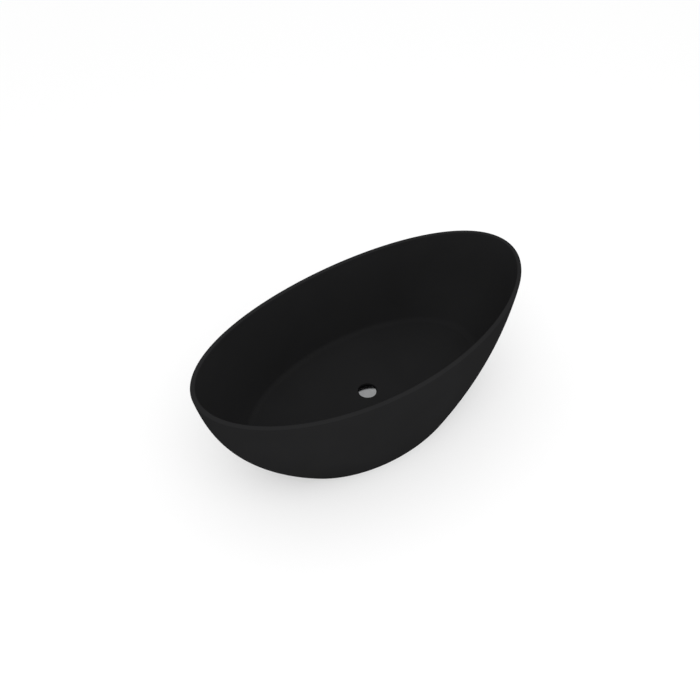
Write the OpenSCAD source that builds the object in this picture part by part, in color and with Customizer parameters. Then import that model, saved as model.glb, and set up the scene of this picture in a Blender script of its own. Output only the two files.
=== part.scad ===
// Freestanding double-skin bathtub, symmetric end to end and side to side.
// The origin is on the ground under the middle of the tub. X runs along the tub, Z points up.

/* [Tub outline] */
// Length over the rim's ends
tub_length = 1700; // [1500:10:1900]
// Width over the rim at the middle of the sides
tub_width = 845; // [760:5:960]
// Height of the rim at the two ends
end_height = 600; // [560:5:680]
// Height of the rim at the middle of the sides
side_height = 550; // [520:5:620]
// Length of the outline at the ground
base_length = 1055; // [960:5:1200]
// Width of the outline at the ground
base_width = 650; // [600:5:720]
// Share of the flare that is straight; the rest is bowl
straightness = 0.32; // [0.1:0.02:0.6]
// Power of the bowl's curve, larger is rounder near the ground
bowl_power = 2.45; // [1.8:0.05:3]

/* [Basin] */
// Width of the flat rim
rim_width = 20; // [16:1:30]
// Thickness of the rim's flange
rim_depth = 7; // [6:1:12]
// Both skins and the gap between them, where the wall meets the floor
wall_at_floor = 17; // [15:1:24]
// Thickness of the basin's skin
basin_skin = 6; // [4:0.5:8]
// Height of the floor where it meets the wall
floor_height = 132; // [125:1:160]
// Drop of the floor from the wall to the plug recess
floor_fall = 8; // [4:1:10]
// Thickness of the floor at the plug recess
floor_thickness = 8; // [6:1:12]
// Radius where the wall meets the floor
crease_radius = 26; // [15:1:50]

/* [Apron] */
// Thickness of the apron's skin
apron_skin = 5; // [4:0.5:6]
// Gap between the apron and the ground
ground_gap = 2; // [1:0.5:6]
// Gap of the bonded joint under the rim
bond_gap = 0.3; // [0.2:0.1:1]

/* [Plug recess] */
// Diameter of the recess in the floor
recess_diameter = 91; // [86:1:116]
// Depth of the recess below the floor
recess_depth = 16; // [14:1:34]
// Thickness of the recess's wall and bottom
recess_skin = 7; // [5:1:9]

/* [Waste and plug] */
// Diameter over the waste's thread
tail_diameter = 47.8; // [40:0.2:56]
// Wall of the waste's tail
tail_wall = 3.4; // [2.5:0.1:5]
// Length of the tail below the plug's barrel
tail_below = 20; // [16:1:24]
// Gap all round between the plug and its recess
plug_gap = 3; // [2:0.5:9]
// Rise of the plug from shut to open
plug_travel = 10; // [6:1:12]
// Diameter of the plug's stem
stem_diameter = 12; // [10:0.5:14]

/* [Cradles and board] */
// Distance from the apron's inner face to the board at the ends
board_end_gap = 95; // [80:5:150]
// Distance from the brackets' seats to the board at the sides
board_side_gap = 5; // [4:1:40]
// Thickness of the floor board
board_thickness = 15; // [12:1:18]
// Distance from the middle of the tub to each cradle
cradle_offset = 320; // [240:5:340]
// Width of a cradle's tube
cradle_width = 40; // [40:1:50]
// Height of a cradle's tube
cradle_height = 30; // [25:1:34]
// Wall of a cradle's tube
cradle_wall = 2; // [1.5:0.5:3]

/* [Feet] */
// Distance from a cradle's end to its foot
foot_inset = 67; // [50:1:90]
// Diameter of the levelling studs
stud_diameter = 12; // [10:1:16]
// Diameter of the foot pads
pad_diameter = 50; // [40:1:56]
// Height of the foot pads
pad_height = 16; // [12:1:20]
// Travel of each foot below its shortest setting
foot_travel = 20; // [10:1:22]

/* [Quality] */
// Points round the oval skins
oval_points = 112; // [64:8:128]
// Rows from the ground or floor up to the rim on each skin
wall_rows = 14; // [8:1:16]

/* [Hidden] */
$fn = 96;
running_gap = 0.05;
clear_gap = 0.3;
edge_rows = 4;
crease_rows = 6;
crease_rise = 0.8 * crease_radius;
floor_rows = 4;
outer_edge_radius = 5;
inner_edge_radius = 4;
eps = 0.01;

// Growth of half the outline from the ground up to where the rim's outer edge starts to round
length_gain = (tub_length - base_length) / 2;
width_gain = (tub_width - base_width) / 2;
end_reach = end_height - outer_edge_radius;
side_reach = side_height - outer_edge_radius;

// Heights of the basin's floor and the plug recess
drain_height = floor_height - floor_fall;
floor_under = drain_height - floor_thickness;
recess_floor = drain_height - recess_depth;
recess_under = recess_floor - recess_skin;
recess_outer = recess_diameter + 2 * recess_skin;
recess_edge = 1.5;
recess_corner = 5;
flat_radius = recess_outer / 2 + 20;

// Waste, clamped in the recess between its flange and its back nut
waste_clearance = 2.1;
waste_hole = tail_diameter + 2 * waste_clearance;
tail_bore = tail_diameter - 2 * tail_wall;
plug_diameter = recess_diameter - 2 * plug_gap;
flange_diameter = recess_diameter - 2 * recess_corner - 4;
flange_seal_diameter = flange_diameter + 2;
seal_thickness = 2;
flange_thickness = 2.5;
flange_top = recess_floor + seal_thickness + flange_thickness;
seat_depth = 1.5;
seat_diameter = tail_bore + 6;
under_seal_thickness = 3;
slip_washer_thickness = 1.5;
washer_width = 9;
ring_diameter = tail_diameter + 2 * washer_width;
back_nut_height = 10;
back_nut_size = tail_diameter + 14;
thread_clearance = 0.1;
thread_hole = tail_diameter + 2 * thread_clearance;
outlet_thread = tail_below + 2;
relief_width = 3;
relief_depth = 1.2;

// Plug, from its underside up
plug_under = flange_top + 0.5;
plug_edge = 3.6;
plug_rounding = 1.4;
plug_dome = 3;
plug_rows = 6;
plug_seal_inner = seat_diameter + 4;
plug_seal_outer = plug_seal_inner + 8;
plug_seal_groove = 1.6;
plug_seal_bottom = flange_top + clear_gap;
plug_boss_diameter = stem_diameter + 12;
plug_boss_height = 4;

// Stem and the barrel that guides it, held by a spider in the tail
barrel_wall = 3;
barrel_bore = stem_diameter + 2 * running_gap;
barrel_outer = barrel_bore + 2 * barrel_wall;
barrel_floor = 4;
barrel_clearance = 3;
barrel_top = plug_under - plug_boss_height - barrel_clearance;
stem_guided = 13;
stem_spigot = stem_diameter / 2;
stem_bottom = barrel_top - plug_travel - stem_guided;
spring_length = 15;
spring_wire = 1.2;
spring_turns = 6;
spring_rings = 12;
barrel_bottom = stem_bottom - spring_length - barrel_floor;
tail_end = barrel_bottom - tail_below;
shoulder = 3;
shoulder_overhang = 1.5;
hub_top = barrel_top - 20;
hub_wall = 3;
spider_height = 10;
spider_arm = 3;
spider_arms = 4;

// Heights of the floor board
board_top = floor_under;
board_under = board_top - board_thickness;

// Cradles, with brackets that reach out to the apron
cradle_top = board_under;
cradle_under = cradle_top - cradle_height;
bracket_width = 30;
bracket_sheet = 3;
bracket_seat = 20;
bracket_drop = cradle_height - bracket_sheet;
bracket_reach = 22;
bracket_bond = 4;
bracket_screw = 5;
bracket_screw_length = 9;
bracket_head = 8;
bracket_head_height = 3;
bracket_face = inside_at(cradle_offset + bracket_width / 2, cradle_under) - bracket_bond;
cradle_length = 2 * floor(bracket_face - bracket_reach);

// Outline of the board, a straight middle with two round ends that keeps clear of the brackets
board_length = 2 * floor(inside_length(board_under) - board_end_gap);
board_width = cradle_length - 2 * (bracket_seat + board_side_gap);
board_hole = recess_outer + 12;

// Feet and screws along the cradles
foot_offset = cradle_length / 2 - foot_inset;
screw_diameter = 6;
screw_clearance = 0.3;
screw_head = 10;
screw_head_height = 4;
screw_depth = 10;
screw_outer = foot_offset - 75;
screw_rows = [-screw_outer, -screw_outer / 2, screw_outer / 2, screw_outer];
insert_barrel = stud_diameter + 5;
insert_flange = insert_barrel + 3;
insert_flange_height = 1.5;
insert_height = cradle_height / 2;
lock_nut_height = 10;
lock_nut_size = stud_diameter + 7;
thread_left = 6;
stud_top = min(cradle_top - cradle_wall - 2, cradle_under + foot_travel + thread_left);
stud_collar_size = stud_diameter + 5;
stud_collar_height = 9;
pad_socket = stud_diameter - 2;
pad_socket_depth = pad_height - 7;
pad_edge = 5;
pad_neck = stud_diameter + 16;

feet = [[1, 1], [1, -1], [-1, 1], [-1, -1]];

// ---- Form of the tub ----

// Growth of the outline with height, 0 at the ground and 1 at the rim, and its slope
function growth(u) = (1 - straightness) * (1 - pow(max(0, 1 - u), bowl_power)) + straightness * u;
function growth_slope(u) =
    (1 - straightness) * bowl_power * pow(max(0, 1 - u), bowl_power - 1) + straightness;

// Half the outline at height z
function half_length(z) = base_length / 2 + length_gain * growth(z / end_reach);
function half_width(z) = base_width / 2 + width_gain * growth(z / side_reach);

// Horizontal thickness of a skin that is 1 thick across its slope
function lean_x(z) = norm([1, length_gain / end_reach * growth_slope(z / end_reach)]);
function lean_y(z) = norm([1, width_gain / side_reach * growth_slope(z / side_reach)]);

// Room inside the apron at height z: half its length, half its width, and half its width at x
function inside_length(z) = half_length(z) - apron_skin * lean_x(z);
function inside_width(z) = half_width(z) - apron_skin * lean_y(z);
function inside_at(x, z) = inside_width(z) * sqrt(1 - pow(x / inside_length(z), 2));

// Height of the rim at angle a round the oval
function rim_height(a) = side_height + (end_height - side_height) * pow(cos(a), 2);

// Point at angle a and height z, set in from the outer face by depth across the wall
function skin_point(a, z, depth) = [
    (half_length(z) - depth * lean_x(z)) * cos(a),
    (half_width(z) - depth * lean_y(z)) * sin(a),
    z
];

// Thickness of the whole wall at height z
function wall(z) = wall_at_floor
    + (rim_width - wall_at_floor) * (z - floor_height) / (end_height - floor_height);

// Rings of points round the tub. In wall_ring, skin is how far the ring lies behind the inner face
function angles() = [for (i = [0 : oval_points - 1]) 360 * i / oval_points];
function rim_ring(depth, drop) = [for (a = angles()) skin_point(a, rim_height(a) - drop, depth)];
function wall_ring(low, share, drop, skin) = [
    for (a = angles())
        let (z = low + share * (rim_height(a) - drop - low)) skin_point(a, z, wall(z) - skin)
];
function apron_ring(share, depth) = [
    for (a = angles())
        let (
            top = rim_height(a) - rim_depth - bond_gap,
            z = ground_gap + share * (top - ground_gap)
        )
            skin_point(a, z, depth)
];
function circle_ring(r, z) = [for (a = angles()) [r * cos(a), r * sin(a), z]];
function blend_rings(p, q, s) = [for (i = [0 : oval_points - 1]) p[i] * (1 - s) + q[i] * s];

// Rounded crease between wall and floor, as a curve pulled towards the corner
function crease_corner() = [for (a = angles()) skin_point(a, floor_height, wall(floor_height))];
function crease_inner() = [
    for (p = crease_corner()) [p[0], p[1], 0] * (1 - crease_radius / norm([p[0], p[1]]))
        + [0, 0, floor_height]
];
function crease_outer() = [
    for (a = angles())
        let (z = floor_height + crease_rise) skin_point(a, z, wall(z))
];
function crease_ring(s) =
    blend_rings(
        blend_rings(crease_outer(), crease_corner(), s),
        blend_rings(crease_corner(), crease_inner(), s),
        s
    );

// Sides of a body made of stacked rings; closed ones join the last ring to the first
function side_faces(rings, closed) = [
    for (r = [0 : len(rings) - (closed ? 1 : 2)], i = [0 : oval_points - 1])
        let (
            n = oval_points,
            next = (r + 1) % len(rings),
            j = (i + 1) % n
        )
            each [[r * n + i, next * n + j, r * n + j], [r * n + i, next * n + i, next * n + j]]
];
function ring_points(rings) = [for (ring = rings) each ring];

// ---- Basin ----

basin_rings = [
    // Underside of the floor, from the middle out
    circle_ring(flat_radius, floor_under),
    blend_rings(
        circle_ring(flat_radius, floor_under),
        wall_ring(floor_under, 0, rim_depth, basin_skin),
        0.5
    ),
    // Back of the skin, up to the rim
    for (k = [0 : wall_rows]) wall_ring(floor_under, k / wall_rows, rim_depth, basin_skin),
    // Rim, over its outer and inner edges
    rim_ring(0, rim_depth),
    for (k = [0 : edge_rows])
        let (t = 90 * k / edge_rows)
            rim_ring(outer_edge_radius * (1 - cos(t)), outer_edge_radius * (1 - sin(t))),
    for (k = [0 : edge_rows])
        let (t = 90 * k / edge_rows)
            rim_ring(rim_width - inner_edge_radius * (1 - sin(t)), inner_edge_radius * (1 - cos(t))),
    // Inside of the skin, down to the crease
    for (k = [wall_rows - 1 : -1 : 1])
        wall_ring(floor_height + crease_rise, k / wall_rows, inner_edge_radius, 0),
    for (k = [0 : crease_rows]) crease_ring(k / crease_rows),
    // Floor, falling to the flat round the recess
    for (k = [1 : floor_rows])
        blend_rings(crease_inner(), circle_ring(flat_radius, drain_height), k / floor_rows)
];

module basin_shell() {
    last = (len(basin_rings) - 1) * oval_points;
    middle_under = len(basin_rings) * oval_points;
    polyhedron(
        points = concat(
            ring_points(basin_rings),
            [[0, 0, floor_under], [0, 0, drain_height]]
        ),
        faces = concat(
            side_faces(basin_rings, false),
            [for (i = [0 : oval_points - 1]) [middle_under, i, (i + 1) % oval_points]],
            [for (i = [0 : oval_points - 1])
                [middle_under + 1, last + (i + 1) % oval_points, last + i]]
        )
    );
}

// Room of the recess, opened at the floor by a rounded edge
module recess_room() {
    r = recess_diameter / 2;
    rotate_extrude()
        difference() {
            translate([0, recess_floor]) square([r + recess_edge, recess_depth + 1]);
            translate([r, recess_floor - 1]) square([2 * recess_edge, recess_depth + 1 - recess_edge]);
            translate([r + recess_edge, drain_height - recess_edge]) circle(recess_edge);
            difference() {
                translate([r - recess_corner, recess_floor - 1]) square(recess_corner + 1);
                translate([r - recess_corner, recess_floor + recess_corner]) circle(recess_corner);
            }
        }
}

module basin() {
    color([0.035, 0.035, 0.037])
        difference() {
            union() {
                basin_shell();
                translate([0, 0, recess_under])
                    cylinder(d = recess_outer, h = floor_under + floor_thickness / 4 - recess_under);
            }
            recess_room();
            translate([0, 0, recess_under - 1]) cylinder(d = waste_hole, h = recess_skin + 2);
        }
}

// ---- Apron ----

apron_rings = [
    for (k = [0 : wall_rows]) apron_ring(k / wall_rows, 0),
    for (k = [wall_rows : -1 : 0]) apron_ring(k / wall_rows, apron_skin)
];

module apron() {
    color([0.03, 0.03, 0.032])
        polyhedron(points = ring_points(apron_rings), faces = side_faces(apron_rings, true));
}

// ---- Board and cradles ----

module ring(outer, inner, low, high) {
    translate([0, 0, low])
        difference() {
            cylinder(d = outer, h = high - low);
            translate([0, 0, -1]) cylinder(d = inner, h = high - low + 2);
        }
}

module at_cradles() {
    for (side = [-1, 1]) translate([side * cradle_offset, 0, 0]) children();
}

module at_feet() {
    for (f = feet) translate([f[0] * cradle_offset, f[1] * foot_offset, 0]) children();
}

module at_board_screws() {
    at_cradles() for (y = screw_rows) translate([0, y, 0]) children();
}

module floor_board() {
    straight = board_length - board_width;
    color([0.72, 0.58, 0.4])
        difference() {
            union() {
                translate([-straight / 2, -board_width / 2, board_under])
                    cube([straight, board_width, board_thickness]);
                for (side = [-1, 1])
                    translate([side * straight / 2, 0, board_under])
                        cylinder(d = board_width, h = board_thickness);
            }
            translate([0, 0, board_under - 1]) cylinder(d = board_hole, h = board_thickness + 2);
            at_board_screws()
                translate([0, 0, board_under - 1])
                    cylinder(d = screw_diameter + 2 * running_gap, h = screw_depth + 1);
        }
}

module cradle(side) {
    bracket_y = cradle_length / 2 - bracket_seat / 2;
    inner_width = cradle_width - 2 * cradle_wall;
    color([0.6, 0.61, 0.62])
        translate([side * cradle_offset, 0, 0])
            difference() {
                translate([-cradle_width / 2, -cradle_length / 2, cradle_under])
                    cube([cradle_width, cradle_length, cradle_height]);
                translate([-inner_width / 2, -cradle_length / 2 - 1, cradle_under + cradle_wall])
                    cube([inner_width, cradle_length + 2, cradle_height - 2 * cradle_wall]);
                for (y = screw_rows)
                    translate([0, y, cradle_under - 1])
                        cylinder(d = screw_diameter + 2 * screw_clearance, h = cradle_height + 2);
                for (end = [-1, 1]) {
                    translate([0, end * foot_offset, cradle_under - 1])
                        cylinder(d = insert_barrel + 2 * running_gap, h = cradle_wall + 2);
                    translate([0, end * bracket_y, cradle_top - cradle_wall - 1])
                        cylinder(d = bracket_screw + 2 * running_gap, h = cradle_wall + 2);
                }
            }
}

module cradle_left() {
    cradle(-1);
}

module cradle_right() {
    cradle(1);
}

module hex_head(size, height) {
    cylinder(d = size / cos(30), h = height, $fn = 6);
}

module board_screws() {
    color([0.75, 0.75, 0.76])
        at_board_screws() {
            translate([0, 0, cradle_under - screw_head_height]) hex_head(screw_head, screw_head_height);
            translate([0, 0, cradle_under - eps])
                cylinder(d = screw_diameter, h = cradle_height + screw_depth - 1);
        }
}

module rivet_nuts() {
    bore = stud_diameter + 2 * running_gap;
    color([0.78, 0.72, 0.5])
        at_feet() {
            ring(insert_flange, bore, cradle_under - insert_flange_height, cradle_under);
            ring(insert_barrel, bore, cradle_under - eps, cradle_under + insert_height);
        }
}

module lock_nuts() {
    top = cradle_under - insert_flange_height;
    color([0.7, 0.71, 0.72])
        at_feet()
            difference() {
                translate([0, 0, top - lock_nut_height]) hex_head(lock_nut_size, lock_nut_height);
                translate([0, 0, top - lock_nut_height - 1])
                    cylinder(d = stud_diameter + 2 * running_gap, h = lock_nut_height + 2);
            }
}

// ---- Levelling feet ----

module stud(foot) {
    collar_low = pad_height + clear_gap;
    color([0.72, 0.73, 0.74])
        translate([feet[foot][0] * cradle_offset, feet[foot][1] * foot_offset, 0]) {
            translate([0, 0, pad_height - pad_socket_depth + clear_gap])
                cylinder(d = pad_socket - 2 * running_gap, h = pad_socket_depth + 1);
            translate([0, 0, collar_low]) hex_head(stud_collar_size, stud_collar_height);
            translate([0, 0, collar_low + 1]) cylinder(d = stud_diameter, h = stud_top - collar_low - 1);
        }
}

module pad(foot) {
    color([0.12, 0.12, 0.13])
        translate([feet[foot][0] * cradle_offset, feet[foot][1] * foot_offset, 0])
            difference() {
                union() {
                    cylinder(d = pad_diameter, h = pad_edge);
                    translate([0, 0, pad_edge - eps])
                        cylinder(d1 = pad_diameter - 2, d2 = pad_neck, h = pad_height - pad_edge + eps);
                }
                translate([0, 0, pad_height - pad_socket_depth])
                    cylinder(d = pad_socket, h = pad_socket_depth + 1);
            }
}

module stud_1() {
    stud(0);
}

module stud_2() {
    stud(1);
}

module stud_3() {
    stud(2);
}

module stud_4() {
    stud(3);
}

module pad_1() {
    pad(0);
}

module pad_2() {
    pad(1);
}

module pad_3() {
    pad(2);
}

module pad_4() {
    pad(3);
}

// ---- Brackets from the cradles to the apron ----

module at_brackets() {
    at_cradles()
        for (end = [0, 180])
            rotate([0, 0, end]) translate([0, cradle_length / 2, cradle_top]) children();
}

module apron_brackets() {
    color([0.6, 0.61, 0.62])
        at_brackets()
            difference() {
                union() {
                    translate([-bracket_width / 2, -bracket_seat, 0])
                        cube([bracket_width, bracket_seat + bracket_reach, bracket_sheet]);
                    translate([-bracket_width / 2, bracket_reach - bracket_sheet, -bracket_drop])
                        cube([bracket_width, bracket_sheet, bracket_drop + bracket_sheet]);
                }
                translate([0, -bracket_seat / 2, -1])
                    cylinder(d = bracket_screw + 2 * running_gap, h = bracket_sheet + 2);
            }
}

module bracket_screws() {
    color([0.75, 0.75, 0.76])
        at_brackets()
            translate([0, -bracket_seat / 2, bracket_sheet]) {
                hex_head(bracket_head, bracket_head_height);
                translate([0, 0, -bracket_screw_length])
                    cylinder(d = bracket_screw, h = bracket_screw_length + eps);
            }
}

// ---- Waste ----

module waste_body() {
    color([0.85, 0.85, 0.87])
        union() {
            difference() {
                union() {
                    translate([0, 0, recess_floor + seal_thickness])
                        cylinder(d = flange_diameter, h = flange_thickness);
                    translate([0, 0, tail_end])
                        cylinder(d = tail_diameter, h = recess_floor + seal_thickness - tail_end + eps);
                }
                translate([0, 0, tail_end - 1]) cylinder(d = tail_bore, h = flange_top - tail_end + 2);
                ring(
                    tail_diameter + 2,
                    tail_diameter - 2 * relief_depth,
                    tail_end + outlet_thread,
                    tail_end + outlet_thread + relief_width
                );
                translate([0, 0, flange_top - seat_depth])
                    cylinder(d1 = tail_bore, d2 = seat_diameter, h = seat_depth + eps);
            }
            difference() {
                union() {
                    translate([0, 0, hub_top - spider_height])
                        cylinder(d = barrel_outer + 2 * hub_wall, h = spider_height);
                    intersection() {
                        translate([0, 0, hub_top - spider_height])
                            cylinder(d = tail_bore + tail_wall, h = spider_height);
                        for (k = [0 : spider_arms - 1])
                            rotate([0, 0, 360 * k / spider_arms])
                                translate([0, -spider_arm / 2, hub_top - spider_height])
                                    cube([tail_bore, spider_arm, spider_height]);
                    }
                }
                translate([0, 0, hub_top - spider_height - 1])
                    cylinder(d = barrel_outer + 2 * running_gap, h = spider_height + 2);
            }
        }
}

module flange_seal() {
    color([0.08, 0.08, 0.08])
        ring(flange_seal_diameter, waste_hole, recess_floor, recess_floor + seal_thickness);
}

module under_seal() {
    color([0.08, 0.08, 0.08])
        ring(ring_diameter, thread_hole, recess_under - under_seal_thickness, recess_under);
}

module slip_washer() {
    top = recess_under - under_seal_thickness;
    color([0.9, 0.9, 0.86])
        ring(ring_diameter, thread_hole, top - slip_washer_thickness, top);
}

module back_nut() {
    top = recess_under - under_seal_thickness - slip_washer_thickness;
    color([0.8, 0.8, 0.82])
        difference() {
            translate([0, 0, top - back_nut_height]) hex_head(back_nut_size, back_nut_height);
            translate([0, 0, top - back_nut_height - 1])
                cylinder(d = thread_hole, h = back_nut_height + 2);
        }
}

// ---- Plug ----

// Half section of the disc: flat under, its edge rounded above, and a shallow dome over the middle
function plug_outline() =
    let (r = plug_diameter / 2, flat = r - plug_rounding, top = plug_under + plug_edge)
        concat(
            [[0, plug_under], [r, plug_under]],
            [for (t = [0 : 15 : 75]) [flat + plug_rounding * cos(t), top - plug_rounding * (1 - sin(t))]],
            [for (k = [plug_rows : -1 : 0]) let (s = k / plug_rows) [flat * s, top + plug_dome * (1 - s * s)]]
        );

module plug_cap() {
    color([0.55, 0.56, 0.58])
        difference() {
            union() {
                rotate_extrude() polygon(plug_outline());
                translate([0, 0, plug_under - plug_boss_height])
                    cylinder(d = plug_boss_diameter, h = plug_boss_height + eps);
            }
            ring(plug_seal_outer, plug_seal_inner, plug_under - 1, plug_under + plug_seal_groove);
            translate([0, 0, plug_under - plug_boss_height - 1])
                cylinder(d = stem_spigot + 2 * running_gap, h = plug_boss_height + 1);
        }
}

module plug_seal() {
    color([0.1, 0.1, 0.1])
        ring(plug_seal_outer, plug_seal_inner, plug_seal_bottom, plug_under + plug_seal_groove);
}

module plug_stem() {
    top = plug_under - plug_boss_height;
    color([0.9, 0.9, 0.86]) {
        translate([0, 0, stem_bottom]) cylinder(d = stem_diameter, h = top - stem_bottom);
        translate([0, 0, top - eps]) cylinder(d = stem_spigot, h = plug_boss_height);
    }
}

module plug_barrel() {
    color([0.8, 0.68, 0.4])
        difference() {
            union() {
                translate([0, 0, barrel_bottom]) cylinder(d = barrel_outer, h = barrel_top - barrel_bottom);
                translate([0, 0, hub_top]) cylinder(d = barrel_outer + 2 * shoulder_overhang, h = shoulder);
            }
            translate([0, 0, barrel_bottom + barrel_floor])
                cylinder(d = barrel_bore, h = barrel_top - barrel_bottom);
        }
}

// Coil as one tube that follows the turns between the barrel's floor and the stem
module plug_spring() {
    low = barrel_bottom + barrel_floor + spring_wire / 2;
    high = stem_bottom - spring_wire / 2;
    coil_radius = stem_diameter / 2 - spring_wire;
    sides = 8;
    steps = spring_turns * spring_rings;
    function wire_point(k, i) =
        let (turn = 360 * k / spring_rings, r = coil_radius + spring_wire / 2 * cos(360 * i / sides))
            [
                r * cos(turn),
                r * sin(turn),
                low + (high - low) * k / steps + spring_wire / 2 * sin(360 * i / sides)
            ];
    color([0.7, 0.72, 0.74])
        polyhedron(
            points = [for (k = [0 : steps], i = [0 : sides - 1]) wire_point(k, i)],
            faces = concat(
                [[for (i = [0 : sides - 1]) i]],
                [for (k = [0 : steps - 1], i = [0 : sides - 1])
                    let (j = (i + 1) % sides)
                        each [
                            [k * sides + i, (k + 1) * sides + j, k * sides + j],
                            [k * sides + i, (k + 1) * sides + i, (k + 1) * sides + j]
                        ]],
                [[for (i = [sides - 1 : -1 : 0]) steps * sides + i]]
            )
        );
}

basin();
apron();
floor_board();
cradle_left();
cradle_right();
board_screws();
rivet_nuts();
stud_1();
stud_2();
stud_3();
stud_4();
pad_1();
pad_2();
pad_3();
pad_4();
lock_nuts();
apron_brackets();
bracket_screws();
waste_body();
flange_seal();
under_seal();
slip_washer();
back_nut();
plug_cap();
plug_seal();
plug_stem();
plug_barrel();
plug_spring();
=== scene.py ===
"""Looks of the freestanding bathtub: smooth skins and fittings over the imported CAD, in metres."""
import math

import bpy
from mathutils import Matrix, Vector


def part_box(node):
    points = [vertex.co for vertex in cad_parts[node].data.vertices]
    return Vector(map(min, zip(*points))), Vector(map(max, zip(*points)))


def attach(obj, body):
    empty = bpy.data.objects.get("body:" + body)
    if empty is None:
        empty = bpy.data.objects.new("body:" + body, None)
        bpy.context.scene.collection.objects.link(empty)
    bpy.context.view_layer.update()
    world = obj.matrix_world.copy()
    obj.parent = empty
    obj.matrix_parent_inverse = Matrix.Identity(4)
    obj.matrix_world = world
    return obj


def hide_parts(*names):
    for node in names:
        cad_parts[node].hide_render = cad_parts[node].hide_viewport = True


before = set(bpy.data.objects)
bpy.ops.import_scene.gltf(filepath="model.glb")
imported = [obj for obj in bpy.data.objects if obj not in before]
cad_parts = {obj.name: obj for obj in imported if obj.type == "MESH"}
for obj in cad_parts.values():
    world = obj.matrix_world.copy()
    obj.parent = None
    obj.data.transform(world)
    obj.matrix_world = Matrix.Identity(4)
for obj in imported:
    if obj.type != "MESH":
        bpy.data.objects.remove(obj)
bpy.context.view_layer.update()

# ---- Sizes of the tub, from the frame where the frame shows them ----

BASIN_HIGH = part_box("basin")[1]
HALF_LENGTH = BASIN_HIGH.x
HALF_WIDTH = BASIN_HIGH.y
END_HEIGHT = BASIN_HIGH.z
RIM_DIP = 0.050
SIDE_HEIGHT = END_HEIGHT - RIM_DIP
BASE_HALF_LENGTH = 0.5275
BASE_HALF_WIDTH = 0.325
STRAIGHTNESS = 0.32
BOWL_POWER = 2.45

RIM_WIDTH = 0.020
RIM_DEPTH = 0.007
OUTER_EDGE = 0.005
INNER_EDGE = 0.004
WALL_AT_FLOOR = 0.017
BASIN_SKIN = 0.006
APRON_SKIN = 0.005
BOND_GAP = 0.0003
APRON_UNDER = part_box("apron")[0].z
APRON_EDGE = 0.001

FLOOR_AT_WALL = 0.016
FLOOR_AT_PLUG = 0.008
FLOOR_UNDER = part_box("floor_board")[1].z
FLOOR_HEIGHT = FLOOR_UNDER + FLOOR_AT_WALL
DRAIN_HEIGHT = FLOOR_UNDER + FLOOR_AT_PLUG
CREASE_RADIUS = 0.026
CREASE_RISE = 0.8 * CREASE_RADIUS

RECESS_RADIUS = 0.0455
RECESS_SKIN = 0.007
RECESS_EDGE = 0.0015
RECESS_CORNER = 0.005
RECESS_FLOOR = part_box("flange_seal")[0].z
RECESS_UNDER_EDGE = 0.001
FLAT_RING = 0.020
FLAT_RADIUS = RECESS_RADIUS + RECESS_SKIN + FLAT_RING
WASTE_HOLE = 0.026
WASTE_HOLE_EDGE = 0.0005

# Points round a skin and rows over it
OVAL_POINTS = 256
RIM_EDGE_ROWS = 8
INNER_WALL_ROWS = 44
CREASE_ROWS = 14
FLOOR_ROWS = 16
RECESS_ARC_ROWS = 6
FLOOR_BACK_ROWS = 4
WALL_BACK_ROWS = 24
APRON_ROWS = 48
SKIN_SMOOTH_ANGLE = 50

# ---- Mesh helpers ----


def make_piece(name, points, faces, body, stands_for, materials, smooth_angle):
    """Adds a mesh piece, shaded smooth up to an angle, that rides on a body and replaces CAD nodes."""
    mesh = bpy.data.meshes.new(name)
    mesh.from_pydata(points, [], faces)
    mesh.validate()
    mesh.shade_smooth()
    mesh.set_sharp_from_angle(angle=math.radians(smooth_angle))
    for material in materials:
        mesh.materials.append(material)
    piece = bpy.data.objects.new(name, mesh)
    bpy.context.scene.collection.objects.link(piece)
    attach(piece, body)
    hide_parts(*stands_for)
    return piece


def ring_faces(rows, count, closed):
    """Quads between stacked rings of points; closed joins the last ring to the first."""
    faces = []
    for r in range(rows if closed else rows - 1):
        upper = (r + 1) % rows
        for i in range(count):
            j = (i + 1) % count
            faces.append((r * count + i, r * count + j, upper * count + j, upper * count + i))
    return faces


def turned(rows, segments, centre=(0, 0), capped=False):
    """Points and faces of (radius, height) rows turned round a vertical axis.

    A radius or a height may be a function of the angle. Without caps the last row joins the first.
    """
    points = []
    for radius, height in rows:
        for i in range(segments):
            a = 2 * math.pi * i / segments
            r = radius(a) if callable(radius) else radius
            z = height(a) if callable(height) else height
            points.append((centre[0] + r * math.cos(a), centre[1] + r * math.sin(a), z))
    faces = ring_faces(len(rows), segments, not capped)
    if capped:
        last = (len(rows) - 1) * segments
        for start, flip in ((0, True), (last, False)):
            ring = points[start:start + segments]
            height = sum(p[2] for p in ring) / segments
            hub = len(points)
            points.append((centre[0], centre[1], height))
            for i in range(segments):
                pair = (start + i, start + (i + 1) % segments)
                faces.append((hub, *(reversed(pair) if flip else pair)))
    return points, faces


def joined(*parts):
    """Several (points, faces) lists as one."""
    points, faces = [], []
    for more_points, more_faces in parts:
        faces += [tuple(len(points) + i for i in face) for face in more_faces]
        points += more_points
    return points, faces


HEXAGON_CHAMFER = math.radians(30)
HEXAGON_FACE_INSET = 0.0003


def hexagon(across, low, high):
    """Rows up a hexagon with both ends chamfered to the circle that its flats touch."""
    def radius(a):
        return across / 2 / math.cos(a % (math.pi / 3) - math.pi / 6)

    def rise(a):
        return (radius(a) - across / 2) * math.tan(HEXAGON_CHAMFER)

    face = across / 2 - HEXAGON_FACE_INSET
    return [
        (face, low),
        (radius, lambda a: low + rise(a)),
        (radius, lambda a: high - rise(a)),
        (face, high),
    ]


THREAD_ROWS_PER_TURN = 8


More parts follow.
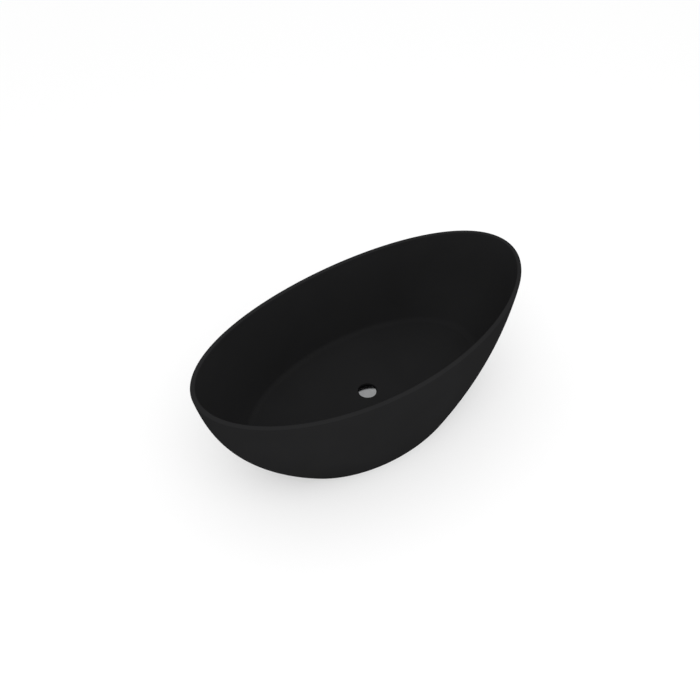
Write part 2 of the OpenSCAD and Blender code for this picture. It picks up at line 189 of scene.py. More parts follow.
def thread(major, depth, pitch, low, high):
    """Rows up a right-handed thread that fades out over its first and last turn."""
    rows = []
    count = max(2, round((high - low) / pitch * THREAD_ROWS_PER_TURN))
    for k in range(count + 1):
        z = low + (high - low) * k / count
        fade = min(1, (z - low) / pitch, (high - z) / pitch)

        def radius(a, z=z, fade=fade):
            phase = (z / pitch - a / (2 * math.pi)) % 1
            return major - fade * depth * (1 - abs(2 * phase - 1))

        rows.append((radius, z))
    return rows


def arc(centre_r, centre_z, radius, start, end, steps):
    """Outline points along an arc, with angles in degrees from the outward direction."""
    out = []
    for k in range(steps + 1):
        a = math.radians(start + (end - start) * k / steps)
        out.append((centre_r + radius * math.cos(a), centre_z + radius * math.sin(a)))
    return out


# ---- Form of the tub, as in the CAD ----


def growth(u):
    """Share of the outward growth reached at a share u of the height; u can round to just over 1."""
    u = min(u, 1.0)
    return (1 - STRAIGHTNESS) * (1 - (1 - u) ** BOWL_POWER) + STRAIGHTNESS * u


def growth_slope(u):
    """Slope of growth, which gives the wall's lean."""
    return (1 - STRAIGHTNESS) * BOWL_POWER * max(0.0, 1 - u) ** (BOWL_POWER - 1) + STRAIGHTNESS


LENGTH_GAIN = HALF_LENGTH - BASE_HALF_LENGTH
WIDTH_GAIN = HALF_WIDTH - BASE_HALF_WIDTH
END_REACH = END_HEIGHT - OUTER_EDGE
SIDE_REACH = SIDE_HEIGHT - OUTER_EDGE


def rim_height(a):
    """The rim's top at angle a, highest at the two ends."""
    return SIDE_HEIGHT + RIM_DIP * math.cos(a) ** 2


def wall(z):
    """Distance between the outer and inner faces, which widens from the floor to the rim."""
    rise = END_HEIGHT - FLOOR_HEIGHT
    return WALL_AT_FLOOR + (RIM_WIDTH - WALL_AT_FLOOR) * (z - FLOOR_HEIGHT) / rise


def wall_back(z):
    """Depth of the back of the basin's skin."""
    return wall(z) - BASIN_SKIN


def skin_point(a, z, depth):
    """Point at angle a and height z, set in from the outer face by depth across the wall."""
    lean_x = math.hypot(1, LENGTH_GAIN / END_REACH * growth_slope(z / END_REACH))
    lean_y = math.hypot(1, WIDTH_GAIN / SIDE_REACH * growth_slope(z / SIDE_REACH))
    half_length = BASE_HALF_LENGTH + LENGTH_GAIN * growth(z / END_REACH)
    half_width = BASE_HALF_WIDTH + WIDTH_GAIN * growth(z / SIDE_REACH)
    x = (half_length - depth * lean_x) * math.cos(a)
    y = (half_width - depth * lean_y) * math.sin(a)
    return Vector((x, y, z))


ANGLES = [2 * math.pi * i / OVAL_POINTS for i in range(OVAL_POINTS)]


def rim_ring(depth, drop):
    return [skin_point(a, rim_height(a) - drop, depth) for a in ANGLES]


def rising_ring(low, share, drop, depth):
    """Ring at a share of the way from a level up to the rim; depth is a function of the height."""
    ring = []
    for a in ANGLES:
        z = low + share * (rim_height(a) - drop - low)
        ring.append(skin_point(a, z, depth(z)))
    return ring


def circle_ring(r, z):
    return [Vector((r * math.cos(a), r * math.sin(a), z)) for a in ANGLES]


def blend_rings(p, q, s):
    return [u.lerp(v, s) for u, v in zip(p, q)]


def profile_rings(profile):
    return [circle_ring(r, z) for r, z in profile]


def crease_rings():
    """Rounded crease between the wall and the floor, from the wall inward."""
    corner = [skin_point(a, FLOOR_HEIGHT, wall(FLOOR_HEIGHT)) for a in ANGLES]
    top = FLOOR_HEIGHT + CREASE_RISE
    outer = [skin_point(a, top, wall(top)) for a in ANGLES]
    inner = []
    for p in corner:
        flat = Vector((p.x, p.y, 0))
        inner.append(flat * (1 - CREASE_RADIUS / flat.length) + Vector((0, 0, FLOOR_HEIGHT)))
    rings = []
    for k in range(CREASE_ROWS + 1):
        s = k / CREASE_ROWS
        rings.append(blend_rings(blend_rings(outer, corner, s), blend_rings(corner, inner, s), s))
    return rings


def basin_rings():
    """Rings over the basin's whole surface, and the first ring of the hidden back."""
    rings = []
    turns = [math.radians(90 * k / RIM_EDGE_ROWS) for k in range(RIM_EDGE_ROWS + 1)]
    # Rim, from the joint with the apron over both edges
    rings.append(rim_ring(0, RIM_DEPTH))
    for t in turns:
        rings.append(rim_ring(OUTER_EDGE * (1 - math.cos(t)), OUTER_EDGE * (1 - math.sin(t))))
    rings.append(rim_ring(RIM_WIDTH / 2, 0))
    for t in turns:
        depth = RIM_WIDTH - INNER_EDGE * (1 - math.sin(t))
        rings.append(rim_ring(depth, INNER_EDGE * (1 - math.cos(t))))
    # Inside, down to the crease and over the floor
    low = FLOOR_HEIGHT + CREASE_RISE
    for k in range(INNER_WALL_ROWS - 1, 0, -1):
        rings.append(rising_ring(low, k / INNER_WALL_ROWS, INNER_EDGE, wall))
    crease = crease_rings()
    rings.extend(crease)
    flat = circle_ring(FLAT_RADIUS, DRAIN_HEIGHT)
    for k in range(1, FLOOR_ROWS + 1):
        rings.append(blend_rings(crease[-1], flat, k / FLOOR_ROWS))
    # Plug recess, down to the waste's hole
    mouth = (RECESS_RADIUS + RECESS_EDGE, DRAIN_HEIGHT - RECESS_EDGE, RECESS_EDGE)
    corner = (RECESS_RADIUS - RECESS_CORNER, RECESS_FLOOR + RECESS_CORNER, RECESS_CORNER)
    rings.extend(profile_rings(
        arc(*mouth, 90, 180, RECESS_ARC_ROWS)
        + arc(*corner, 0, -90, RECESS_ARC_ROWS)
        + [(WASTE_HOLE + WASTE_HOLE_EDGE, RECESS_FLOOR), (WASTE_HOLE, RECESS_FLOOR - WASTE_HOLE_EDGE)]
    ))
    back_start = len(rings)
    # Back of the recess, from the waste's hole up to the floor's underside
    outside = RECESS_RADIUS + RECESS_SKIN
    under = RECESS_FLOOR - RECESS_SKIN
    rings.extend(profile_rings([
        (WASTE_HOLE, under),
        (outside - RECESS_UNDER_EDGE, under),
        (outside, under + RECESS_UNDER_EDGE),
        (outside, FLOOR_UNDER),
        (FLAT_RADIUS, FLOOR_UNDER),
    ]))
    # Back of the floor and of the wall, up under the rim
    middle = circle_ring(FLAT_RADIUS, FLOOR_UNDER)
    bend = rising_ring(FLOOR_UNDER, 0, RIM_DEPTH, wall_back)
    for k in range(1, FLOOR_BACK_ROWS + 1):
        rings.append(blend_rings(middle, bend, k / FLOOR_BACK_ROWS))
    for k in range(1, WALL_BACK_ROWS + 1):
        rings.append(rising_ring(FLOOR_UNDER, k / WALL_BACK_ROWS, RIM_DEPTH, wall_back))
    return rings, back_start


def apron_rings():
    """Rings up the apron's outer face, then down its back, and the first ring of the back."""
    drop = RIM_DEPTH + BOND_GAP
    low = APRON_UNDER
    rings = [rising_ring(low, 0, drop, lambda z: APRON_EDGE)]
    for k in range(APRON_ROWS + 1):
        rings.append(rising_ring(low + APRON_EDGE, k / APRON_ROWS, drop, lambda z: 0))
    back_start = len(rings)
    for k in range(WALL_BACK_ROWS, -1, -1):
        rings.append(rising_ring(low, k / WALL_BACK_ROWS, drop, lambda z: APRON_SKIN))
    return rings, back_start


def skin_piece(name, rings, back_start, stands_for, outward):
    """One oval skin whose back, from the ring back_start on, takes the second material."""
    points = [p for ring in rings for p in ring]
    faces = ring_faces(len(rings), OVAL_POINTS, True)
    if not outward:
        faces = [tuple(reversed(f)) for f in faces]
    skins = [skin_black, laminate]
    piece = make_piece(name, points, faces, "tub", [stands_for], skins, SKIN_SMOOTH_ANGLE)
    for face in piece.data.polygons:
        face.material_index = 1 if face.index // OVAL_POINTS >= back_start else 0


# ---- Materials ----


class Shader:
    """A principled material and short calls to add its nodes."""

    def __init__(self, name, colour=(0.8, 0.8, 0.8), roughness=0.5, **sockets):
        self.material = bpy.data.materials.new(name)
        self.material.use_nodes = True
        self.tree = self.material.node_tree
        self.bsdf = self.tree.nodes["Principled BSDF"]
        self.bsdf.inputs["Base Color"].default_value = (*colour, 1)
        self.bsdf.inputs["Roughness"].default_value = roughness
        for socket, value in sockets.items():
            self.bsdf.inputs[socket.replace("_", " ")].default_value = value
        self.position = self.add("ShaderNodeTexCoord").outputs["Object"]

    def add(self, kind, **settings):
        node = self.tree.nodes.new(kind)
        for key, value in settings.items():
            setattr(node, key, value)
        return node

    def link(self, source, target):
        self.tree.links.new(source, target)

    def stretched(self, scale):
        """Object coordinates scaled per axis; a small scale draws a pattern out along its axis."""
        mapping = self.add("ShaderNodeMapping")
        mapping.inputs["Scale"].default_value = scale
        self.link(self.position, mapping.inputs["Vector"])
        return mapping.outputs["Vector"]

    def noise(self, scale, detail=4.0, distortion=0.0, vector=None):
        node = self.add("ShaderNodeTexNoise")
        node.inputs["Scale"].default_value = scale
        node.inputs["Detail"].default_value = detail
        node.inputs["Distortion"].default_value = distortion
        self.link(vector or self.position, node.inputs["Vector"])
        return node.outputs["Fac"]

    def cells(self, scale, feature="F1", output="Distance"):
        node = self.add("ShaderNodeTexVoronoi", feature=feature)
        node.inputs["Scale"].default_value = scale
        self.link(self.position, node.inputs["Vector"])
        return node.outputs[output]

    def bands(self, scale, distortion=0.0, direction="Z", vector=None, rings=False):
        node = self.add("ShaderNodeTexWave", wave_type="RINGS" if rings else "BANDS")
        if rings:
            node.rings_direction = direction
        else:
            node.bands_direction = direction
        node.inputs["Scale"].default_value = scale
        node.inputs["Distortion"].default_value = distortion
        node.inputs["Detail"].default_value = 3
        self.link(vector or self.position, node.inputs["Vector"])
        return node.outputs["Fac"]

    def spread(self, source, low, high, into_low=0.0, into_high=1.0):
        """Maps the range low to high onto into_low to into_high, and holds the ends."""
        node = self.add("ShaderNodeMapRange")
        limits = {"From Min": low, "From Max": high, "To Min": into_low, "To Max": into_high}
        for socket, value in limits.items():
            node.inputs[socket].default_value = value
        self.link(source, node.inputs["Value"])
        return node.outputs["Result"]

    def maths(self, operation, first, second):
        node = self.add("ShaderNodeMath", operation=operation)
        for socket, value in zip(node.inputs, (first, second)):
            if isinstance(value, (int, float)):
                socket.default_value = value
            else:
                self.link(value, socket)
        return node.outputs["Value"]

    def tint(self, factor, *stops):
        """Colour ramp from (place, colour) stops."""
        node = self.add("ShaderNodeValToRGB")
        ramp = node.color_ramp
        while len(ramp.elements) < len(stops):
            ramp.elements.new(0.5)
        for element, (place, colour) in zip(ramp.elements, stops):
            element.position = place
            element.color = (*colour, 1)
        self.link(factor, node.inputs["Fac"])
        return node.outputs["Color"]

    def colour(self, source):
        self.link(source, self.bsdf.inputs["Base Color"])

    def rough(self, source):
        self.link(source, self.bsdf.inputs["Roughness"])

    def bump(self, *layers):
        """Stacks (height, strength, distance in metres) layers of bump."""
        normal = None
        for height, strength, distance in layers:
            node = self.add("ShaderNodeBump")
            node.inputs["Strength"].default_value = strength
            node.inputs["Distance"].default_value = distance
            self.link(height, node.inputs["Height"])
            if normal:
                self.link(normal, node.inputs["Normal"])
            normal = node.outputs["Normal"]
        self.link(normal, self.bsdf.inputs["Normal"])


def make_skin_black():
    """Matt black sanitary acrylic: soft mottling, fine orange peel and faintly polished streaks."""
    s = Shader("skin_black", roughness=0.55)
    s.bsdf.inputs["Specular IOR Level"].default_value = 0.0
    cloud = s.noise(3.2, 5, 0.4)
    grain = s.noise(520, 2)
    peel = s.noise(95, 2)
    mixed = s.maths("ADD", s.maths("MULTIPLY", cloud, 0.75), s.maths("MULTIPLY", grain, 0.25))
    s.colour(s.tint(
        mixed,
        (0.3, (0.0131, 0.0131, 0.0134)),
        (0.7, (0.0154, 0.0154, 0.0158)),
    ))
    wiped = s.noise(9, 4, 0.6, s.stretched((1, 2.6, 0.7)))
    s.rough(s.spread(wiped, 0.3, 0.7, 0.48, 0.62))
    s.bump((grain, 0.05, 0.0004), (peel, 0.06, 0.0006))
    return s.material


def make_laminate():
    """Back of the skins: resin over crossing bundles of glass strands, rolled on unevenly."""
    s = Shader("laminate", roughness=0.5)
    draw = 0.09
    along = s.noise(210, 3, 0.4, s.stretched((draw, 1, 1)))
    across = s.noise(210, 3, 0.4, s.stretched((1, draw, 1)))
    upward = s.noise(210, 3, 0.4, s.stretched((1, 1, draw)))
    weave = s.maths("MAXIMUM", s.maths("MAXIMUM", along, across), upward)
    puddle = s.noise(11, 4)
    tone = s.maths("ADD", s.maths("MULTIPLY", weave, 0.55), s.maths("MULTIPLY", puddle, 0.45))
    s.colour(s.tint(
        tone,
        (0.35, (0.12, 0.115, 0.085)),
        (0.55, (0.20, 0.19, 0.145)),
        (0.75, (0.34, 0.33, 0.27)),
    ))
    s.rough(s.spread(puddle, 0.3, 0.7, 0.3, 0.65))
    s.bump((weave, 0.5, 0.0006), (puddle, 0.4, 0.002))
    return s.material


def make_plywood():
    """Birch ply under a resin wash, with its plies showing on the edge."""
    board_thickness = 0.015
    bands_per_board = 1.6
    s = Shader("plywood", roughness=0.65)
    grain = s.noise(24, 6, 1.2, s.stretched((0.35, 6, 6)))
    figure = s.bands(2.2, 5, "Y", s.stretched((0.25, 1, 1)))
    plies = s.spread(s.bands(1 / board_thickness * bands_per_board, 0.3, "Z"), 0.35, 0.65)
    face = s.maths("ADD", s.maths("MULTIPLY", grain, 0.6), s.maths("MULTIPLY", figure, 0.4))
    tone = s.maths("SUBTRACT", face, s.maths("MULTIPLY", plies, 0.12))
    s.colour(s.tint(
        tone,
        (0.2, (0.24, 0.135, 0.06)),
        (0.5, (0.45, 0.30, 0.155)),
        (0.8, (0.60, 0.44, 0.26)),
    ))
    s.rough(s.spread(grain, 0.3, 0.7, 0.5, 0.75))
    s.bump((grain, 0.25, 0.0004), (plies, 0.15, 0.0003))
    return s.material


def make_galvanised():
    """Hot-dip galvanised tube: zinc spangle with dull and bright grains."""
    spangle = 90
    s = Shader("galvanised", roughness=0.4, Metallic=1.0)
    separate = s.add("ShaderNodeSeparateColor")
    s.link(s.cells(spangle, output="Color"), separate.inputs["Color"])
    tone = separate.outputs["Red"]
    bloom = s.noise(6, 5)
    mixed = s.maths("ADD", s.maths("MULTIPLY", tone, 0.5), s.maths("MULTIPLY", bloom, 0.5))
    s.colour(s.tint(mixed, (0.2, (0.38, 0.39, 0.41)), (0.8, (0.62, 0.63, 0.65))))
    s.rough(s.spread(mixed, 0.2, 0.8, 0.3, 0.55))
    s.bump((s.cells(spangle, "DISTANCE_TO_EDGE"), 0.08, 0.0003), (bloom, 0.12, 0.0008))
    return s.material


def make_zinc():
    """Bright zinc-plated fasteners with a faint warm and blue passivate bloom."""
    s = Shader("zinc_plated", roughness=0.3, Metallic=1.0)
    bloom = s.noise(70, 4)
    scratch = s.noise(400, 3, 0, s.stretched((1, 1, 0.15)))
    s.colour(s.tint(
        bloom,
        (0.3, (0.60, 0.63, 0.66)),
        (0.55, (0.70, 0.69, 0.66)),
        (0.8, (0.72, 0.66, 0.54)),
    ))
    s.rough(s.spread(scratch, 0.3, 0.7, 0.22, 0.4))
    s.bump((scratch, 0.08, 0.0002))
    return s.material


def make_chrome():
    """Polished chrome with the faint haze of water marks."""
    s = Shader("chrome", roughness=0.1, Metallic=1.0)
    haze = s.noise(55, 5, 0.5)
    spots = s.spread(s.cells(140), 0.05, 0.25)
    s.colour(s.tint(haze, (0.3, (0.60, 0.61, 0.63)), (0.7, (0.68, 0.69, 0.71))))
    s.rough(s.maths("ADD", s.spread(haze, 0.3, 0.7, 0.1, 0.2), s.maths("MULTIPLY", spots, 0.03)))
    s.bump((haze, 0.03, 0.0003))
    return s.material


def make_satin_steel():
    """Dark satin steel of the plug: fine turning rings under a soft haze."""
    s = Shader("satin_steel", roughness=0.1, Metallic=1.0)
    rings = s.bands(420, 0.6, "Z", rings=True)
    haze = s.noise(48, 5, 0.5)
    s.colour(s.tint(haze, (0.3, (0.205, 0.207, 0.212)), (0.7, (0.240, 0.243, 0.248))))
    s.rough(s.spread(haze, 0.3, 0.7, 0.08, 0.12))
    s.bump((rings, 0.04, 0.0001), (haze, 0.03, 0.0003))
    return s.material


def make_brass():
    """Turned brass with fine tool rings and a little tarnish."""
    s = Shader("brass", roughness=0.28, Metallic=1.0)
    turning = s.bands(900, 1.5, "Z")
    tarnish = s.noise(60, 5)
    s.colour(s.tint(tarnish, (0.3, (0.48, 0.34, 0.12)), (0.7, (0.72, 0.56, 0.25))))
    s.rough(s.spread(tarnish, 0.3, 0.7, 0.22, 0.42))
    s.bump((turning, 0.15, 0.0001))
    return s.material


def make_rubber():
    """Black sealing rubber with talc bloom."""
    s = Shader("rubber", roughness=0.8)
    bloom = s.noise(130, 5)
    s.colour(s.tint(bloom, (0.35, (0.018, 0.018, 0.018)), (0.75, (0.045, 0.045, 0.043))))
    s.rough(s.spread(bloom, 0.3, 0.7, 0.7, 0.9))
    s.bump((s.noise(900, 2), 0.2, 0.0002))
    return s.material


def make_white_plastic():
    """Off-white acetal, machined, a little translucent."""
    s = Shader("acetal", roughness=0.38)
    s.bsdf.inputs["Subsurface Weight"].default_value = 0.1
    s.bsdf.inputs["Subsurface Radius"].default_value = (0.002, 0.002, 0.0015)
    cloud = s.noise(90, 3)
    s.colour(s.tint(cloud, (0.3, (0.74, 0.73, 0.68)), (0.7, (0.84, 0.83, 0.79))))
    s.rough(s.spread(cloud, 0.3, 0.7, 0.32, 0.46))
    s.bump((s.bands(800, 1, "Z"), 0.08, 0.0001))
    return s.material


def make_pad_plastic():
    """Moulded black nylon with a spark-eroded texture and scuffs."""
    s = Shader("nylon", roughness=0.6)
    texture = s.noise(600, 3)
    scuff = s.spread(s.noise(45, 6, 1.5), 0.55, 0.7)
    s.colour(s.tint(scuff, (0.0, (0.028, 0.028, 0.030)), (1.0, (0.075, 0.073, 0.070))))
    s.rough(s.spread(texture, 0.3, 0.7, 0.5, 0.7))
    s.bump((texture, 0.3, 0.0002))
    return s.material


skin_black = make_skin_black()
laminate = make_laminate()
plywood = make_plywood()
galvanised = make_galvanised()
zinc = make_zinc()
chrome = make_chrome()
satin_steel = make_satin_steel()
brass = make_brass()
rubber = make_rubber()
acetal = make_white_plastic()
nylon = make_pad_plastic()

# ---- Skins ----

skin_piece("basin_skin", *basin_rings(), "basin", False)
skin_piece("apron_skin", *apron_rings(), "apron", True)

# ---- Plug ----

PLUG_LOW, PLUG_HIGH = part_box("plug_cap")
PLUG_SEAL_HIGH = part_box("plug_seal")[1]
PLUG_SEAL_WIDTH = 0.004
PLUG_EDGE = 0.0036
PLUG_ROUNDING = 0.0014
PLUG_DOME = 0.003
PLUG_UNDER_EDGE = 0.0004
BOSS_RADIUS = 0.012
BOSS_EDGE = 0.0005


def make_plug_cap():
    """Shallow domed disc with a rounded edge, a groove for its seal and a boss that takes the stem."""
    radius = PLUG_HIGH.x
    edge_top = PLUG_HIGH.z - PLUG_DOME
    under = edge_top - PLUG_EDGE
    flat = radius - PLUG_ROUNDING
    steps = 24
    groove_inner = PLUG_SEAL_HIGH.x - PLUG_SEAL_WIDTH
    rows = [
        (BOSS_RADIUS - BOSS_EDGE, PLUG_LOW.z),
        (BOSS_RADIUS, PLUG_LOW.z + BOSS_EDGE),
        (BOSS_RADIUS, under),
        (groove_inner, under),
        (groove_inner, PLUG_SEAL_HIGH.z),
        (PLUG_SEAL_HIGH.x, PLUG_SEAL_HIGH.z),
        (PLUG_SEAL_HIGH.x, under),
        (radius - PLUG_UNDER_EDGE, under),
        (radius, under + PLUG_UNDER_EDGE),
    ]
    rows += arc(flat, edge_top - PLUG_ROUNDING, PLUG_ROUNDING, 0, 90, 10)
    for k in range(1, steps):
        share = 1 - k / steps
        rows.append((flat * share, edge_top + PLUG_DOME * (1 - share ** 2)))
    points, faces = turned(rows, 160, capped=True)
    make_piece("plug_cap_disc", points, faces, "plug", ["plug_cap"], [satin_steel], 40)


make_plug_cap()

# ---- Waste ----

WASTE_BODY_LOW, WASTE_BODY_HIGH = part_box("waste_body")
BARREL_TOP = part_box("plug_barrel")[1].z
NUT_LOW, NUT_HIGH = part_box("back_nut")
TAIL_RADIUS = 0.0239
TAIL_WALL = 0.0034
TAIL_BORE = TAIL_RADIUS - TAIL_WALL
WASTE_PITCH = 0.002309
WASTE_THREAD = 0.0009
OUTLET_THREAD = 0.022
RELIEF_WIDTH = 0.003
RELIEF_DEPTH = 0.0012
TAIL_EDGE = 0.0008
THREAD_PAST_NUT = 0.003
BACK_NUT_GAP = 0.0001
BACK_NUT_FACE_RING = 0.0015
FLANGE_THICKNESS = 0.0025
FLANGE_EDGE = 0.0008
SEAT_WIDTH = 0.003
SEAT_DEPTH = 0.0015
HUB_DROP = 0.020
HUB_TOP = BARREL_TOP - HUB_DROP
HUB_HEIGHT = 0.010
HUB_BORE = 0.0091
HUB_RADIUS = 0.01205
HUB_EDGE = 0.0005
SPIDER_ARM = 0.003
SPIDER_EDGE = 0.0006
SPIDER_LAP = 0.001


def make_waste_body():
    """Tail with outlet thread, relief groove and clamping thread, its flange, and the spider's hub."""
    low, top = WASTE_BODY_LOW.z, WASTE_BODY_HIGH.z
    flange = WASTE_BODY_HIGH.x
    under = top - FLANGE_THICKNESS
    groove = low + OUTLET_THREAD
    groove_top = groove + RELIEF_WIDTH
    groove_radius = TAIL_RADIUS - RELIEF_DEPTH
    edge = FLANGE_EDGE
    rows = [(TAIL_BORE, low), (TAIL_RADIUS - TAIL_EDGE, low)]
    rows += thread(TAIL_RADIUS, WASTE_THREAD, WASTE_PITCH, low + TAIL_EDGE, groove)
    rows += [(groove_radius, groove), (groove_radius, groove_top)]
    rows += thread(TAIL_RADIUS, WASTE_THREAD, WASTE_PITCH, groove_top, NUT_HIGH.z + THREAD_PAST_NUT)
    rows += [(TAIL_RADIUS, under)]
    rows += arc(flange - edge, under + edge, edge, -90, 0, 4)
    rows += arc(flange - edge, top - edge, edge, 0, 90, 4)
    rows += [(TAIL_BORE + SEAT_WIDTH, top), (TAIL_BORE, top - SEAT_DEPTH)]
    tail = turned(rows, 128)
    hub_low = HUB_TOP - HUB_HEIGHT
    hub = turned([
        (HUB_BORE, hub_low),
        (HUB_RADIUS - HUB_EDGE, hub_low),
        (HUB_RADIUS, hub_low + HUB_EDGE),
        (HUB_RADIUS, HUB_TOP - HUB_EDGE),
        (HUB_RADIUS - HUB_EDGE, HUB_TOP),
        (HUB_BORE, HUB_TOP),
    ], 64)
    points, faces = joined(tail, hub, *(spider_arm(quarter) for quarter in range(4)))
    make_piece("waste_cast", points, faces, "tub", ["waste_body"], [chrome], 35)


def spider_arm(quarter):
    """One arm from the hub to the tail's wall, its long edges rounded."""
    half, top, low = SPIDER_ARM / 2, HUB_TOP, HUB_TOP - HUB_HEIGHT
    edge = SPIDER_EDGE
    section = [
        (-half, low + edge), (-half + edge, low), (half - edge, low), (half, low + edge),
        (half, top - edge), (half - edge, top), (-half + edge, top), (-half, top - edge),
    ]
    turn = math.radians(90 * quarter)
    points = []
    for r in (HUB_BORE + SPIDER_LAP, TAIL_BORE + SPIDER_LAP):
        for across, z in section:
            points.append((
                r * math.cos(turn) - across * math.sin(turn),
                r * math.sin(turn) + across * math.cos(turn),
                z,
            ))
    count = len(section)
    faces = ring_faces(2, count, False)
    faces += [tuple(reversed(range(count))), tuple(range(count, 2 * count))]
    return points, faces


def nut_rows(across, bore, ring, low, high):
    """Rows of a hexagon nut, from its bore out over the lower face and back in over the upper."""
    return [(bore, low), (ring, low), *hexagon(across, low, high), (ring, high), (bore, high)]


def make_back_nut():
    """Thin brass hexagon that clamps the waste up against the recess."""
    bore, ring = TAIL_RADIUS + BACK_NUT_GAP, TAIL_RADIUS + BACK_NUT_FACE_RING
    rows = nut_rows(2 * NUT_HIGH.y, bore, ring, NUT_LOW.z, NUT_HIGH.z)
    points, faces = turned(rows, 144)
    make_piece("back_nut_hexagon", points, faces, "tub", ["back_nut"], [brass], 25)


make_waste_body()
make_back_nut()

# ---- Levelling feet ----


def middle_of(node):
    """Middle of a node's box."""
    return sum(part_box(node), Vector()) / 2


FEET = [middle_of(f"pad_{k}") for k in range(1, 5)]
PAD_LOW, PAD_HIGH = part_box("pad_1")
STUD_LOW, STUD_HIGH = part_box("stud_1")
LOCK_LOW, LOCK_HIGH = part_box("lock_nuts")
STUD_RADIUS = 0.006
STUD_PITCH = 0.00175
STUD_THREAD = 0.00085
LOCK_NUT_GAP = 0.00005
LOCK_NUT_FACE_RING = 0.0008
STUD_END_EDGE = 0.0008
STUD_TOP_EDGE = 0.001
SHANK_RADIUS = 0.00495
COLLAR_GAP = 0.0003
COLLAR_LOW = PAD_HIGH.z + COLLAR_GAP
COLLAR_HEIGHT = 0.009
PAD_SHOULDER_HEIGHT = 0.005
PAD_EDGE = 0.001
PAD_NECK = 0.014
PAD_SOCKET = 0.005
PAD_SOCKET_EDGE = 0.0007
PAD_SOCKET_GAP = 0.0003
PAD_RIBS = 16
PAD_RIB_DEPTH = 0.0011


def make_stud(number, foot):
    """Threaded stud with a spanner collar, standing by its plain end in the pad's socket."""
    collar = 2 * (STUD_HIGH.y - middle_of("stud_1").y)
    collar_top = COLLAR_LOW + COLLAR_HEIGHT
    rows = [
        (SHANK_RADIUS - STUD_END_EDGE, STUD_LOW.z),
        (SHANK_RADIUS, STUD_LOW.z + STUD_END_EDGE),
        (SHANK_RADIUS, COLLAR_LOW),
    ]
    rows += hexagon(collar, COLLAR_LOW, collar_top)
    rows += thread(STUD_RADIUS, STUD_THREAD, STUD_PITCH, collar_top, STUD_HIGH.z - STUD_TOP_EDGE)
    rows += [(STUD_RADIUS - STUD_TOP_EDGE, STUD_HIGH.z)]
    points, faces = turned(rows, 48, (foot.x, foot.y), capped=True)
    body, node = f"screw_{number}", f"stud_{number}"
    make_piece(f"stud_{number}_threaded", points, faces, body, [node], [zinc], 30)


def make_pad(number, foot):
    """Moulded foot with a rolled edge, shallow ribs on its cone and a socket for the stud."""
    shoulder = (PAD_HIGH.x - PAD_LOW.x) / 2 - PAD_EDGE
    rows = arc(shoulder, PAD_LOW.z + PAD_EDGE, PAD_EDGE, -90, 0, 4)
    rows += arc(shoulder, PAD_SHOULDER_HEIGHT - PAD_EDGE, PAD_EDGE, 0, 90, 4)
    steps = 8
    for k in range(1, steps + 1):
        s = k / steps
        depth = PAD_RIB_DEPTH * math.sin(math.pi * s)
        level = PAD_SHOULDER_HEIGHT + (PAD_HIGH.z - PAD_SHOULDER_HEIGHT) * s

        def height(a, level=level, depth=depth):
            return level - depth * (0.5 + 0.5 * math.cos(PAD_RIBS * a)) ** 2

        rows.append((shoulder + (PAD_NECK - shoulder) * s, height))
    rows += [
        (PAD_SOCKET + PAD_SOCKET_EDGE, PAD_HIGH.z),
        (PAD_SOCKET, PAD_HIGH.z - PAD_SOCKET_EDGE),
        (PAD_SOCKET, STUD_LOW.z - PAD_SOCKET_GAP),
    ]
    points, faces = turned(rows, 128, (foot.x, foot.y), capped=True)
    body, node = f"foot_{number}", f"pad_{number}"
    make_piece(f"pad_{number}_moulded", points, faces, body, [node], [nylon], 35)


def make_lock_nuts():
    """One nut round each stud, against the cradle's insert."""
    across = 2 * (LOCK_HIGH.y - max(foot.y for foot in FEET))
    bore, ring = STUD_RADIUS + LOCK_NUT_GAP, STUD_RADIUS + LOCK_NUT_FACE_RING
    rows = nut_rows(across, bore, ring, LOCK_LOW.z, LOCK_HIGH.z)
    points, faces = joined(*(turned(rows, 72, (foot.x, foot.y)) for foot in FEET))
    make_piece("lock_nut_set", points, faces, "tub", ["lock_nuts"], [zinc], 25)


for number, foot in enumerate(FEET, 1):
    make_stud(number, foot)
    make_pad(number, foot)
make_lock_nuts()

# ---- Screws from the cradles into the board ----

SCREW_LOW, SCREW_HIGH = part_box("board_screws")
CRADLE_LOW, CRADLE_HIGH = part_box("cradle_right")
SCREW_HEAD = 0.010
SCREW_HEX_INSET = 0.0006
SCREW_FLANGE_OUT = 0.0004
SCREW_FLANGE_HEIGHT = 0.0007
SCREW_HEX_GAP = 0.0009
SCREW_RADIUS = 0.003
SCREW_TIP_RADIUS = 0.0006
SCREW_TIP_LENGTH = 0.003


def make_board_screws():
    """Flanged hexagon screws, in two pairs on each cradle."""
    column = (CRADLE_LOW.x + CRADLE_HIGH.x) / 2
    outer = SCREW_HIGH.y - SCREW_HEAD / 2
    flange = SCREW_HEAD / 2 + SCREW_FLANGE_OUT
    head_top = CRADLE_LOW.z
    rows = hexagon(SCREW_HEAD - SCREW_HEX_INSET, SCREW_LOW.z, head_top - SCREW_HEX_GAP)
    rows += [
        (flange, head_top - SCREW_FLANGE_HEIGHT),
        (flange, head_top),
        (SCREW_RADIUS, head_top),
        (SCREW_RADIUS, SCREW_HIGH.z - SCREW_TIP_LENGTH),
        (SCREW_TIP_RADIUS, SCREW_HIGH.z),
    ]
    lines = (-outer, -outer / 2, outer / 2, outer)
    places = [(side * column, y) for side in (-1, 1) for y in lines]
    points, faces = joined(*(turned(rows, 48, place, capped=True) for place in places))
    make_piece("board_screw_set", points, faces, "tub", ["board_screws"], [zinc], 25)


make_board_screws()

# ---- Looks of the CAD pieces that stay ----

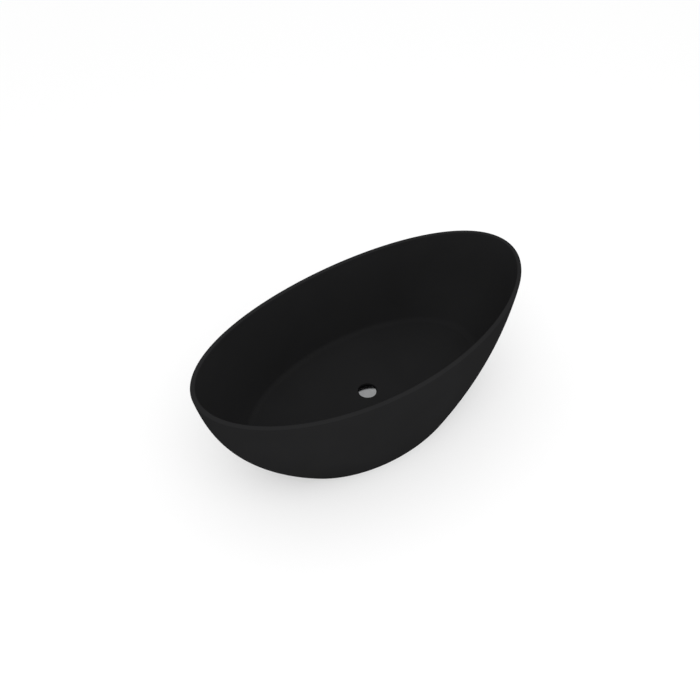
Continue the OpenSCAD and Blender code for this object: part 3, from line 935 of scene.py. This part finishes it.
KEPT = {
    "floor_board": plywood,
    "cradle_left": galvanised, "cradle_right": galvanised, "apron_brackets": galvanised,
    "rivet_nuts": zinc, "bracket_screws": zinc, "plug_barrel": brass, "plug_spring": zinc,
    "flange_seal": rubber, "under_seal": rubber, "plug_seal": rubber,
    "slip_washer": acetal, "plug_stem": acetal,
}
for node, material in KEPT.items():
    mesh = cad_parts[node].data
    mesh.materials.clear()
    mesh.materials.append(material)

# ---- Floor, light and camera ----


def make_floor(grey, glow, reach):
    """Matt pale ground that glows a little, so that it is as bright as the photograph's white ground."""
    s = Shader("studio_floor", colour=(grey, grey, grey), roughness=0.9)
    s.bsdf.inputs["Specular IOR Level"].default_value = 0.0
    s.bsdf.inputs["Emission Color"].default_value = (1, 1, 1, 1)
    s.bsdf.inputs["Emission Strength"].default_value = glow
    mesh = bpy.data.meshes.new("studio_floor")
    corners = [(-reach, -reach, 0), (reach, -reach, 0), (reach, reach, 0), (-reach, reach, 0)]
    mesh.from_pydata(corners, [], [(0, 1, 2, 3)])
    mesh.materials.append(s.material)
    floor = bpy.data.objects.new("studio_floor", mesh)
    bpy.context.scene.collection.objects.link(floor)


def make_world(strength):
    """Even white light from all round."""
    world = bpy.data.worlds.new("studio")
    world.use_nodes = True
    background = world.node_tree.nodes["Background"]
    background.inputs["Color"].default_value = (1, 1, 1, 1)
    background.inputs["Strength"].default_value = strength
    bpy.context.scene.world = world


def make_light(name, location, target, size, power):
    """Round soft light, in metres and watts, turned towards the target."""
    light = bpy.data.lights.new(name, "AREA")
    light.shape = "DISK"
    light.size = size
    light.energy = power
    lamp = bpy.data.objects.new(name, light)
    lamp.location = location
    lamp.rotation_euler = (Vector(target) - Vector(location)).to_track_quat("-Z", "Y").to_euler()
    bpy.context.scene.collection.objects.link(lamp)


def make_camera(azimuth, elevation, distance, aim, lens):
    """Camera that looks at aim from the photograph's direction, with a 36 mm sensor."""
    back = Vector((
        math.sin(azimuth) * math.cos(elevation),
        -math.cos(azimuth) * math.cos(elevation),
        math.sin(elevation),
    ))
    camera = bpy.data.cameras.new("camera")
    camera.sensor_width = 36
    camera.lens = lens
    camera.clip_end = 100
    holder = bpy.data.objects.new("camera", camera)
    holder.location = Vector(aim) + back * distance
    holder.rotation_euler = (-back).to_track_quat("-Z", "Y").to_euler()
    bpy.context.scene.collection.objects.link(holder)
    bpy.context.scene.camera = holder


make_floor(0.43, 0.46, 30)
make_world(1.2)
make_light("overhead", (-1.4, -1.7, 4.0), (0, 0, 0.2), 3.2, 55)
make_light("fill", (3.09, -2.55, 2.6), (0, 0, 0.2), 3.5, 7)
make_camera(math.radians(-39.52), math.radians(44.07), 3.53, (-0.0356, 0.0860, 0.3451), 39.99)
bpy.context.scene.view_settings.view_transform = "Standard"
